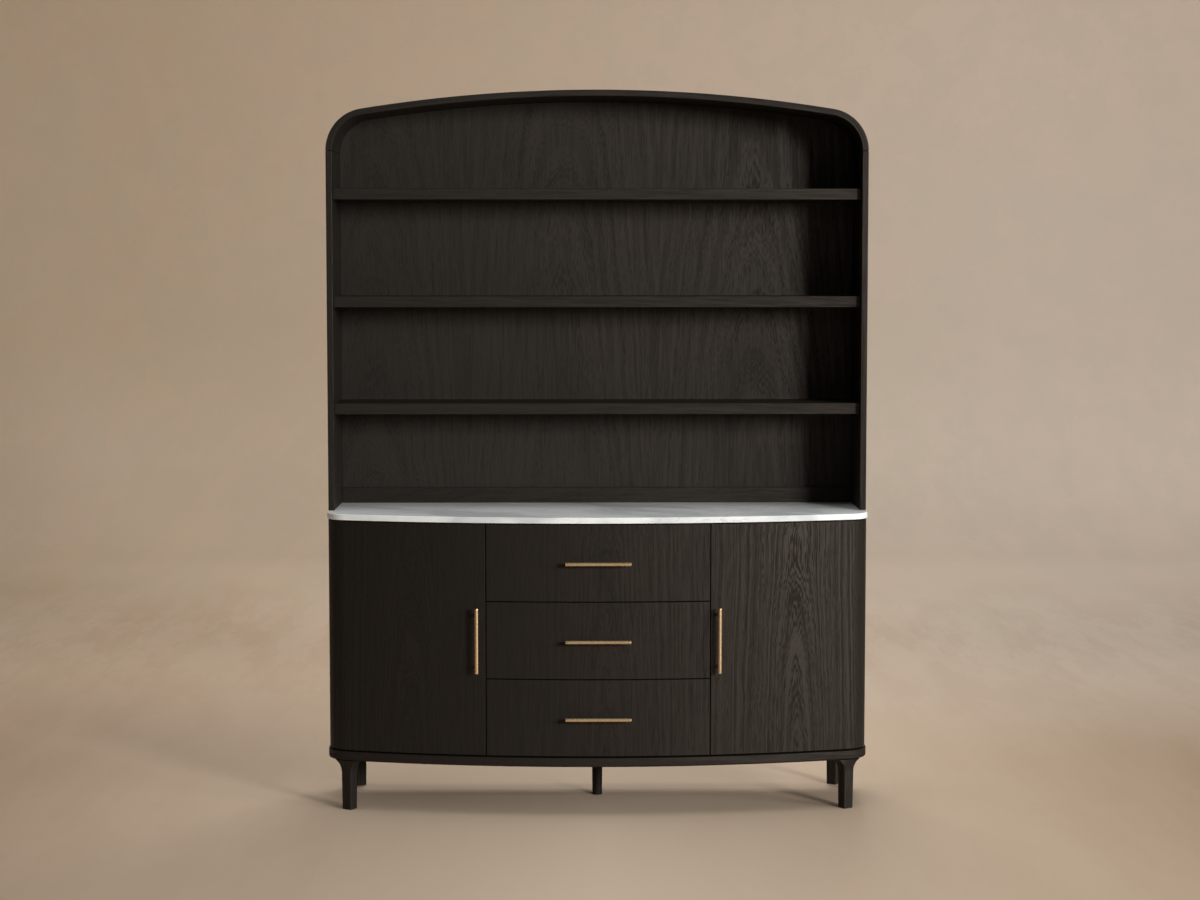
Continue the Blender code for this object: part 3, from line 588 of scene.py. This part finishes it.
def cut_mesh(body_shape, tool_shape, operation):
    """The mesh left when one closed shape is cut by, or joined to, another."""
    body, tool = [add_object("shape", closed_mesh("shape", *shape))
                  for shape in (body_shape, tool_shape)]
    step = body.modifiers.new("cut", "BOOLEAN")
    step.operation = operation
    step.solver = "EXACT"
    step.object = tool
    bpy.context.view_layer.update()
    view = bpy.context.evaluated_depsgraph_get()
    mesh = bpy.data.meshes.new_from_object(body.evaluated_get(view))
    for holder in (body, tool):
        bpy.data.objects.remove(holder, do_unlink=True)
    return mesh


def by_axes(order, shift):
    """Grain from a point's own x, y and z, in the order across, through, along."""
    picks = ["xyz".index(axis) for axis in order]
    return lambda point: tuple(point[k] + move for k, move in zip(picks, shift))


def board(name, low, high, grain, *dressing, edge=EASED_EDGE):
    """A straight board between two corners."""
    outline = [(low[0], low[1]), (high[0], low[1]), (high[0], high[1]), (low[0], high[1])]
    points, faces = prism(outline, low[2], high[2])
    piece(name, points, faces, grain, *dressing, edge=edge)


def node_board(node, order, shift, coat, slot, edge=EASED_EDGE):
    """A board in the place of a CAD node of the cabinet that is a plain board."""
    low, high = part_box(node)
    board(node + "_board", low, high, by_axes(order, shift), coat, "cabinet", slot, node,
          edge=edge)


# Marble top

slab_outline = whole_row(OVERHANG) + [(HALF_WIDTH, BACK), (-HALF_WIDTH, BACK)]
slab_points, slab_faces = prism(slab_outline, MARBLE_BOTTOM, WORKTOP_HEIGHT)
piece("marble_slab", slab_points, slab_faces, slab_points, MARBLE, "cabinet", "white_marble",
      "marble_top", edge=ARRIS, segments=ARRIS_SEGMENTS)


# Base: fronts whose veneer runs on from door to drawers to door

VENEER_SHIFT = -0.02


def door_row(offset):
    return front_row(offset, DOOR_NEAR_X) + [(HALF + offset, DOOR_END)]


def drawer_row(offset):
    return bow_row(offset, DRAWER_HALF)


def drawer_bottom(level):
    return FRONT_BOTTOM + level * (FRONT_HEIGHT + FRONT_GAP)


def base_front(name, row_of, low, high, start, side, *dressing):
    """A bent panel; start is how far from the middle its veneer begins along the bow."""
    profile = ((0.0, low), (0.0, high), (-FRONT_PANEL, high), (-FRONT_PANEL, low))
    points, faces = sweep(row_of, profile)
    grain = [(side * travel + VENEER_SHIFT, -offset, level)
             for travel in lengths(row_of(0.0), start) for offset, level in profile]
    piece(name, [(side * x, y, z) for x, y, z in points], faces, grain, *dressing,
          edge=EASED_EDGE)


door_start = BOW_RADIUS * math.asin(DOOR_NEAR_X / BOW_RADIUS)
drawer_start = -BOW_RADIUS * math.asin(DRAWER_HALF / BOW_RADIUS)
for word, side in SIDES:
    veneer = FIGURED_OAK if word == "right" else OAK
    base_front(f"door_{word}_panel", door_row, FRONT_BOTTOM, FRONT_TOP, door_start, side,
               veneer, word + "_door", "dark_oak", "door_" + word)
for level, word in enumerate(LEVELS):
    bottom = drawer_bottom(level)
    base_front(f"drawer_{word}_panel", drawer_row, bottom, bottom + FRONT_HEIGHT,
               drawer_start, 1, OAK, word + "_drawer", "dark_oak", "drawer_front_" + word)


# Base frame: the bent rail has a rounded lower edge

def rail_row(offset):
    return mirrored(front_row(offset, 0.0) + [(HALF + offset, BACK)])


rail_profile = [(OVERHANG, RAIL_TOP)]
rail_profile += [(OVERHANG - RAIL_ROUNDING * (1 - cosine),
                  RAIL_BOTTOM + RAIL_ROUNDING * (1 - sine))
                 for sine, cosine in quarter_turn(RAIL_ROUNDING_STEPS)]
rail_profile += [(OVERHANG - RAIL_WIDTH, RAIL_BOTTOM), (OVERHANG - RAIL_WIDTH, RAIL_TOP)]
rail_points, rail_faces = sweep(rail_row, rail_profile)
rail_grain = [(level + 0.11, OVERHANG - offset, travel + 4.0)
              for travel in lengths(rail_row(0.0), -1.3) for offset, level in rail_profile]
piece("base_rail_band", rail_points, rail_faces, rail_grain, STRAIGHT_OAK, "cabinet", "dark_oak",
      "base_rail_front", edge=RAIL_EDGE)
node_board("base_rail_back", "zyx", (0.13, 0.0, 2.0), OAK, "dark_oak")
node_board("base_rail_middle", "xzy", (0.15, 0.0, 5.0), CARCASS, "carcass_oak")


# Legs

def leg_ring(height, inset, flare):
    """The leg's section: a square with rounded arrises; its outer face is towards -y."""
    half = (LEG_FOOT_SIZE + (LEG_SIZE - LEG_FOOT_SIZE) * height / RAIL_BOTTOM) / 2 - inset
    wide = half + FLARE_SIDE * flare - LEG_ARRIS
    front = half + FLARE_OUT * flare - LEG_ARRIS
    back = half + FLARE_IN * flare - LEG_ARRIS
    ring = []
    for quarter, (x, y) in enumerate(((wide, back), (-wide, back), (-wide, -front),
                                      (wide, -front))):
        for k in range(LEG_ARRIS_STEPS + 1):
            turn = (quarter + k / LEG_ARRIS_STEPS) * math.pi / 2
            ring.append(Vector((x + LEG_ARRIS * math.cos(turn),
                                y + LEG_ARRIS * math.sin(turn), height)))
    return ring


flare_start = LEG_TOP - FLARE_HEIGHT * math.sin(FLARE_END)
leg_rings = [leg_ring(0.0, FOOT_CHAMFER, 0.0), leg_ring(FOOT_CHAMFER, 0.0, 0.0)]
for k in range(FLARE_STEPS + 1):
    turn = FLARE_END * k / FLARE_STEPS
    leg_rings.append(leg_ring(flare_start + FLARE_HEIGHT * math.sin(turn), 0.0,
                              1 - math.cos(turn)))
footprint = prism(slab_outline, -RAIL_TOP, RAIL_TOP)


def corner_leg(node, x, y, turn, shift):
    """A square leg turned to face its corner, its head cut flush with the marble's outline."""
    place = Matrix.Translation((x, y, 0)) @ Matrix.Rotation(turn, 4, "Z")
    back = place.inverted()
    points = [tuple(place @ point) for ring in leg_rings for point in ring]
    post = (points, joined_rings(len(leg_rings), len(leg_rings[0])))

    def grain(point):
        at = back @ point
        return (at.x + 0.10 + shift, at.y + 0.06, at.z + shift)

    dress(node + "_post", cut_mesh(post, footprint, "INTERSECT"), grain, STRAIGHT_OAK,
          "cabinet", "dark_oak", node)


for word, side in SIDES:
    corner_leg("leg_front_" + word, side * LEG_X, CORNER_Y - LEG_AHEAD_OF_CORNER,
               side * LEG_TURN, 0.7 + side * 0.31)
    corner_leg("leg_rear_" + word, side * LEG_X, BACK - REAR_LEG_INSET,
               side * (math.pi - LEG_TURN), 1.9 + side * 0.37)

leg_profile = [(0, LEG_TOP), (CENTRE_LEG_TOP_RADIUS, LEG_TOP)]
leg_profile += [(CENTRE_LEG_FOOT_RADIUS - FOOT_CHAMFER * (1 - cosine),
                 FOOT_CHAMFER * (1 - sine)) for sine, cosine in quarter_turn(FOOT_STEPS)]
leg_points, leg_faces = turned_solid(leg_profile + [(0, 0)], TURNED_SEGMENTS)
leg_points = [(x, y + CENTRE_LEG_Y, z) for x, y, z in leg_points]
piece("leg_centre_post", leg_points, leg_faces, by_axes("xyz", (0.12, 0.05, 3.1)), OAK,
      "cabinet", "dark_oak", "leg_centre")


# Carcass

def inside_plan():
    edge = SIDE_INNER - SEAT_GAP
    step = SIDE_FRONT + SEAT_GAP
    right = front_row(INNER_OFFSET, 0.0) + [
        (HALF + INNER_OFFSET, step), (edge, step + SWING_CLEARANCE),
        (edge, BACK_PANEL_FACE - SEAT_GAP)]
    return mirrored(right)


def carcass_plate(node, outline, low, high, shift):
    points, faces = prism(outline, low, high)
    piece(node + "_plate", points, faces, by_axes("yzx", shift), CARCASS, "cabinet",
          "carcass_oak", node, edge=CARCASS_EDGE)


carcass_plate("base_floor", inside_plan(), CARCASS_BOTTOM, FLOOR_TOP, (0.2, 0.0, 1.0))
shelf_offset = INNER_OFFSET - SHELF_SETBACK
shelf_near = PARTITION_OUTER + SEAT_GAP
shelf_far = SIDE_INNER - SEAT_GAP
shelf_step = SIDE_FRONT + SHELF_SETBACK
shelf_back = BACK_PANEL_FACE - SEAT_GAP
shelf_plan = front_row(shelf_offset, shelf_near) + [
    (HALF + shelf_offset, shelf_step), (shelf_far, shelf_step), (shelf_far, shelf_back),
    (shelf_near, shelf_back)]
for word, side in SIDES:
    carcass_plate("inner_shelf_" + word, [(side * x, y) for x, y in shelf_plan],
                  INNER_SHELF_TOP - PANEL, INNER_SHELF_TOP, (0.3, 0.0, 2.0 + side))
    node_board("base_side_" + word, "yxz", (side * 0.3, 0.0, 0.4), OAK, "dark_oak")
    node_board("partition_" + word, "yxz", (0.1, 0.0, side), CARCASS, "carcass_oak",
               edge=CARCASS_EDGE)
    for where in ("inner", "outer"):
        node_board(f"shelf_cleat_{where}_{word}", "zxy", (0.12, 0.0, side), CARCASS,
                   "carcass_oak")
node_board("base_back", "xyz", (0.2, 0.0, 0.2), CARCASS, "carcass_oak", edge=CARCASS_EDGE)


# Hutch

def arch_row(inset):
    """The arch's line from its left seam to its right one, moved inwards by the inset."""
    crown = arc(0.0, CROWN_CENTRE_Z, CROWN_RADIUS - inset, 0.0, CROWN_END, CROWN_STEPS)
    corner = arc(ARCH_CORNER_X, ARCH_CORNER_Z, HUTCH_CORNER_RADIUS - inset, CROWN_END,
                 math.pi / 2, ARCH_CORNER_STEPS)
    return mirrored(crown + corner[1:])


def stood_up(points):
    """Turns a shape drawn in x and z, with y as its height, into place."""
    return [(x, y, z) for x, z, y in points]


arch_profile = ((0.0, HUTCH_FRONT), (0.0, BACK), (HUTCH_BOARD, BACK),
                (HUTCH_BOARD, HUTCH_FRONT))
arch_points, arch_faces = sweep(arch_row, arch_profile)
arch_grain = [(level + 0.16, inset, travel + 9.0) for travel in lengths(arch_row(0.0), 0.0)
              for inset, level in arch_profile]
piece("hutch_arch_band", stood_up(arch_points), arch_faces, arch_grain, STRAIGHT_OAK,
      "cabinet", "dark_oak", "hutch_arch", edge=ARRIS, segments=ARRIS_SEGMENTS)
for word, side in SIDES:
    node_board("hutch_side_" + word, "yxz", (0.14, 0.0, 1.3 * side), STRAIGHT_OAK, "dark_oak",
               edge=ARRIS)
back_half = HUTCH_INNER - SEAT_GAP
back_outline = arch_row(HUTCH_BOARD + SEAT_GAP) + [(back_half, HUTCH_FOOT),
                                                   (-back_half, HUTCH_FOOT)]
back_points, back_faces = prism(back_outline, HUTCH_BACK_FACE,
                                HUTCH_BACK_FACE + HUTCH_BACK_THICKNESS)
piece("hutch_back_panel", stood_up(back_points), back_faces,
      by_axes("xyz", (-0.50, 0.0, -1.3)), PANEL_OAK, "cabinet", "dark_oak", "hutch_back",
      edge=HUTCH_BACK_EDGE)
node_board("hutch_back_rail", "zyx", (0.12, 0.0, 6.0), STRAIGHT_OAK, "dark_oak")
for k, word in enumerate(("lower", "middle", "upper")):
    node_board("hutch_shelf_" + word, "yzx", (0.13, 0.0, 11.0 + 2.3 * k), STRAIGHT_OAK,
               "dark_oak", edge=SHELF_EDGE)


# Pulls

# The posts' outline, in shares of their radius and of their length from the bar to the face
POST_OUTLINE = ((1.0, 0.0), (1.0, 0.32), (0.97, 0.40), (0.7696, 0.58), (0.74, 0.66), (0.74, 1.0))


def pull(name, place, stand, body, node):
    """A turned bar with a groove near each end, on two posts that reach the face behind."""
    end = PULL_LENGTH / 2
    cap = end - PULL_CAP
    groove = PULL_RADIUS - PULL_GROOVE
    upper = [(0, end)]
    upper += [(PULL_RADIUS - PULL_EDGE * (1 - sine), end - PULL_EDGE * (1 - cosine))
              for sine, cosine in quarter_turn(PULL_EDGE_STEPS)]
    upper += [(PULL_RADIUS, cap + PULL_GROOVE), (groove, cap + PULL_GROOVE / 2),
              (groove, cap - PULL_GROOVE / 2), (PULL_RADIUS, cap - PULL_GROOVE)]
    bar = upper + [(radius, -height) for radius, height in reversed(upper)]
    length = stand - SEAT_GAP
    post = [(PULL_POST_RADIUS * wide, length * along) for wide, along in POST_OUTLINE]
    post_points, post_faces = turned_solid([(0, 0), *post, (0, length)], POST_SEGMENTS)
    points = []
    faces = []
    for post_end in (-1, 1):
        faces += [tuple(len(points) + k for k in face) for face in post_faces]
        points += [(x, z, y + post_end * PULL_POST_SPACING / 2) for x, y, z in post_points]
    mesh = cut_mesh(turned_solid(bar, TURNED_SEGMENTS), (points, faces), "UNION")
    grain = [tuple(vertex.co) for vertex in mesh.vertices]
    mesh.transform(place)
    dress(name, mesh, grain, BRASS, body, "brushed_brass", node)


lean = math.asin((SEAM_X + DOOR_PULL_FROM_SEAM) / BOW_RADIUS)
reach = BOW_RADIUS + PULL_STAND
for word, side in SIDES:
    spot = (side * reach * math.sin(lean), BOW_CENTRE_Y - reach * math.cos(lean),
            (FRONT_BOTTOM + FRONT_TOP) / 2)
    pull(f"door_{word}_bar", Matrix.Translation(spot) @ Matrix.Rotation(side * lean, 4, "Z"),
         PULL_STAND, word + "_door", "door_pull_" + word)
bar_y = BOW_CENTRE_Y - BOW_RADIUS - PULL_STAND
post_x = PULL_POST_SPACING / 2 - PULL_POST_RADIUS
post_stand = BOW_CENTRE_Y - math.sqrt(BOW_RADIUS ** 2 - post_x ** 2) - bar_y
for level, word in enumerate(LEVELS):
    spot = (0, bar_y, drawer_bottom(level) + FRONT_HEIGHT / 2)
    pull(f"drawer_{word}_bar", Matrix.Translation(spot) @ Matrix.Rotation(math.pi / 2, 4, "Y"),
         post_stand, word + "_drawer", "drawer_pull_" + word)


# Drawer boxes: four walls round a bottom

def box_row(inset):
    return bow_row(BOX_OFFSET - inset, BOX_HALF - inset)


def drawer_box(level, word):
    low = drawer_bottom(level) + BOX_LIFT
    high = low + BOX_HEIGHT
    room = BOX_HALF - BOX_WALL
    back_front = BOX_BACK - BOX_WALL
    inner = box_row(BOX_WALL)
    dressing = (CARCASS, word + "_drawer", "carcass_oak")
    profile = ((0.0, low), (0.0, high), (BOX_WALL, high), (BOX_WALL, low))
    points, faces = sweep(box_row, profile)
    grain = [(z + 0.12, k * BOX_WALL, travel + 3.0 * level)
             for travel in lengths(box_row(0.0), -BOX_HALF)
             for k, (inset, z) in enumerate(profile)]
    piece(f"drawer_{word}_box_front", points, faces, grain, *dressing, "drawer_box_" + word,
          edge=BOX_EDGE)
    for side_word, side in SIDES:
        near, far = sorted((side * room, side * BOX_HALF))
        board(f"drawer_{word}_box_{side_word}", (near, inner[0][1], low), (far, BOX_BACK, high),
              by_axes("zxy", (0.12, 0.0, 2.0 + level)), *dressing, edge=BOX_EDGE)
    board(f"drawer_{word}_box_back", (-room, back_front, low), (room, BOX_BACK, high),
          by_axes("zyx", (0.14, 0.0, 1.0 + level)), *dressing, edge=BOX_EDGE)
    points, faces = prism(inner + [(room, back_front), (-room, back_front)], low,
                          low + BOX_FLOOR)
    piece(f"drawer_{word}_box_bottom", points, faces, by_axes("xzy", (0.2, 0.0, 0.5 * level)),
          *dressing, edge=BOX_BOTTOM_EDGE)


for level, word in enumerate(LEVELS):
    drawer_box(level, word)


# What stays of the CAD model: the sub-top, the hinges and the runners

def recoat(node, coat):
    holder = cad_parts[node]
    holder.data.materials.clear()
    holder.data.materials.append(coat)


recoat("sub_top", CARCASS_ALONG_X)
for word, side in SIDES:
    for end in ("top", "bottom"):
        recoat(f"hinge_{end}_{word}", STEEL)
    for level in LEVELS:
        recoat(f"slide_fixed_{level}_{word}", STEEL)
        recoat(f"slide_moving_{level}_{word}", STEEL)


# Floor and backdrop in one sheet, in mottled paint with painted light and shade in it: paler where
# less light falls, in front of the cabinet and in the bend, and darker to the sides near the front

BACKDROP_HALF_WIDTH = 16.0
BACKDROP_FRONT = -16.0
BACKDROP_BACK = 9.8
BACKDROP_BEND = 3.4
BACKDROP_HEIGHT = 7.0
SPAN_PER_METRE = 0.118
NEAR_SIDES_PAINTED_SHADE = (0.28, 0.20, 0.135)
NEAR_MIDDLE_PAINTED_LIGHT = (0.56, 0.44, 0.335)
FLOOR_LEFT = (0.42, 0.305, 0.215)
FLOOR_RIGHT = (0.375, 0.30, 0.24)
WALL_LEFT = (0.67, 0.50, 0.35)
WALL_RIGHT = (0.79, 0.65, 0.54)
BEND_PAINTED_LIGHT_LEFT = (0.94, 0.75, 0.57)
BEND_PAINTED_LIGHT_RIGHT = (1.0, 0.85, 0.71)
# Each with its noise's scales and roughness, where it sets in, its depth and its tint
MOTTLES = (((1.3, 0.26, 1.3), 0.62, 0.40, 0.60, 0.10, (0.72, 0.62, 0.52)),
           ((6.5, 1.3, 6.5), 0.68, 0.46, 0.54, 0.10, (0.74, 0.64, 0.54)),
           ((3.1, 0.6, 3.1), 0.7, 0.46, 0.54, 0.09, (0.52, 0.57, 0.43)))


def backdrop_paint():
    """Paint in three soft steps from the floor to the wall, each from left to right, with painted
    light on the floor in front of the cabinet and in the bend, and painted shade to the sides near
    the front.
    """
    m = Nodes(bpy.data.materials.new("backdrop"))
    place = m.object_place()
    x, y, z = m.split(place)
    span = m.plus(0.5, x, SPAN_PER_METRE)
    # Painted light on the floor in front of the cabinet, where the cabinet shades it, and painted
    # shade towards the sides
    near = m.ramp(span, (0.26, NEAR_SIDES_PAINTED_SHADE), (0.50, NEAR_MIDDLE_PAINTED_LIGHT), (0.74, NEAR_SIDES_PAINTED_SHADE))
    middle = m.ramp(span, (0.25, FLOOR_LEFT), (0.75, FLOOR_RIGHT))
    wall = m.ramp(span, (0.15, WALL_LEFT), (0.85, WALL_RIGHT))
    bend = m.ramp(span, (0.30, BEND_PAINTED_LIGHT_LEFT), (0.70, BEND_PAINTED_LIGHT_RIGHT))
    colour = m.mix(m.spread(y, 0.3, 2.6), near, middle)
    colour = m.mix(m.spread(y, 3.0, 6.4), colour, wall)
    # Painted light in the bend up to the wall, where the light falls at a slant
    bend_painted_light_share = m.math("MULTIPLY", m.spread(y, 4.8, 6.8), m.spread(z, 0.25, 1.4, 0.56, 0.17))
    colour = m.mix(bend_painted_light_share, colour, bend)
    mottle_share = m.spread(y, 0.5, 6.0, 0.16, 1.0)
    for scales, roughness, low, high, depth, tint in MOTTLES:
        mottle = m.spread(m.noise(place, scales, 6.0, roughness), low, high, 0.0, depth)
        colour = m.mix(m.math("MULTIPLY", mottle, mottle_share), colour, tint)
    m.set("Base Color", colour)
    m.set("Roughness", 0.92)
    m.set("Specular IOR Level", 0.15)
    return m.owner


def backdrop():
    line = [(BACKDROP_FRONT, 0.0)]
    line += [(BACKDROP_BACK - BACKDROP_BEND * (1 - sine), BACKDROP_BEND * (1 - cosine))
             for sine, cosine in quarter_turn(BEND_STEPS)]
    line.append((BACKDROP_BACK, BACKDROP_HEIGHT))
    ends = (-BACKDROP_HALF_WIDTH, BACKDROP_HALF_WIDTH)
    points = [(x, y, z) for y, z in line for x in ends]
    faces = [(2 * k, 2 * k + 1, 2 * k + 3, 2 * k + 2) for k in range(len(line) - 1)]
    mesh = bpy.data.meshes.new("backdrop")
    mesh.from_pydata(points, [], faces)
    mesh.materials.append(backdrop_paint())
    mesh.shade_smooth()
    made = add_object("backdrop", mesh)


backdrop()


# Lamps and world

AIM = (0.0, 0.0, 1.1)
REAR_AIM = (0.0, 0.2, 0.9)
FLOOR_AIM = (0.0, -0.2, 0.0)
KEY_PLACE = (math.radians(37.0), 11.0, 3.2)
SIDE_PLACE = (math.radians(60.0), 9.0, 2.6)


def around(turn, distance, height):
    """A place in front of the cabinet, turned to its right."""
    return (distance * math.sin(turn), -distance * math.cos(turn), height)


def lamp(name, place, target, size, power, colour, glints=True):
    """A soft rectangular lamp, its size in metres and its power in watts."""
    data = bpy.data.lights.new(name, "AREA")
    data.shape = "RECTANGLE"
    data.size, data.size_y = size
    data.energy = power
    data.color = colour
    made = add_object(name, data)
    made.visible_camera = False
    made.visible_glossy = glints
    made.location = place
    made.rotation_euler = (Vector(target) - Vector(place)).to_track_quat("-Z", "Y").to_euler()


lamp("key", around(*KEY_PLACE), AIM, (2.1, 2.4), 975.0, LAMP_WHITE)
lamp("side", around(*SIDE_PLACE), AIM, (3.2, 2.6), 290.0, LAMP_WHITE)
lamp("front", (0.3, -8.0, 3.4), AIM, (2.6, 2.0), 14.0, WARM_WHITE)
lamp("overhead", (0.0, -0.3, 6.8), FLOOR_AIM, (8.0, 6.0), 210.0, WARM_WHITE, glints=False)
lamp("rear_left", (-5.0, 0.9, 2.4), REAR_AIM, (1.6, 1.6), 10.0, WARM_WHITE)
lamp("rear", (0.4, 3.4, 4.2), REAR_AIM, (2.4, 1.6), 140.0, WARM_WHITE)

# The world is dim, and brighter overhead
sky = Nodes(bpy.data.worlds.new("studio"), "Background")
rise = sky.split(sky.add("TexCoord").outputs["Generated"])["Z"]
sky.set("Strength", sky.spread(rise, 0.40, 0.75, 0.03, 0.25))
sky.set("Color", WARM_WHITE)
bpy.context.scene.world = sky.owner


# Camera

CAMERA_PLACE = (-0.0766, FRONT - 7.24, 1.6755)
CAMERA_DIP = 0.0758
CAMERA_YAW = -0.0113
CAMERA_LENS = 72.18
SENSOR_WIDTH = 36.0

camera = bpy.data.cameras.new("camera")
camera.sensor_width = SENSOR_WIDTH
camera.sensor_fit = "HORIZONTAL"
camera.lens = CAMERA_LENS
viewer = add_object("camera", camera)
viewer.location = CAMERA_PLACE
viewer.rotation_euler = (math.pi / 2 - CAMERA_DIP, 0.0, CAMERA_YAW)
bpy.context.scene.camera = viewer
bpy.context.scene.view_settings.view_transform = "Standard"
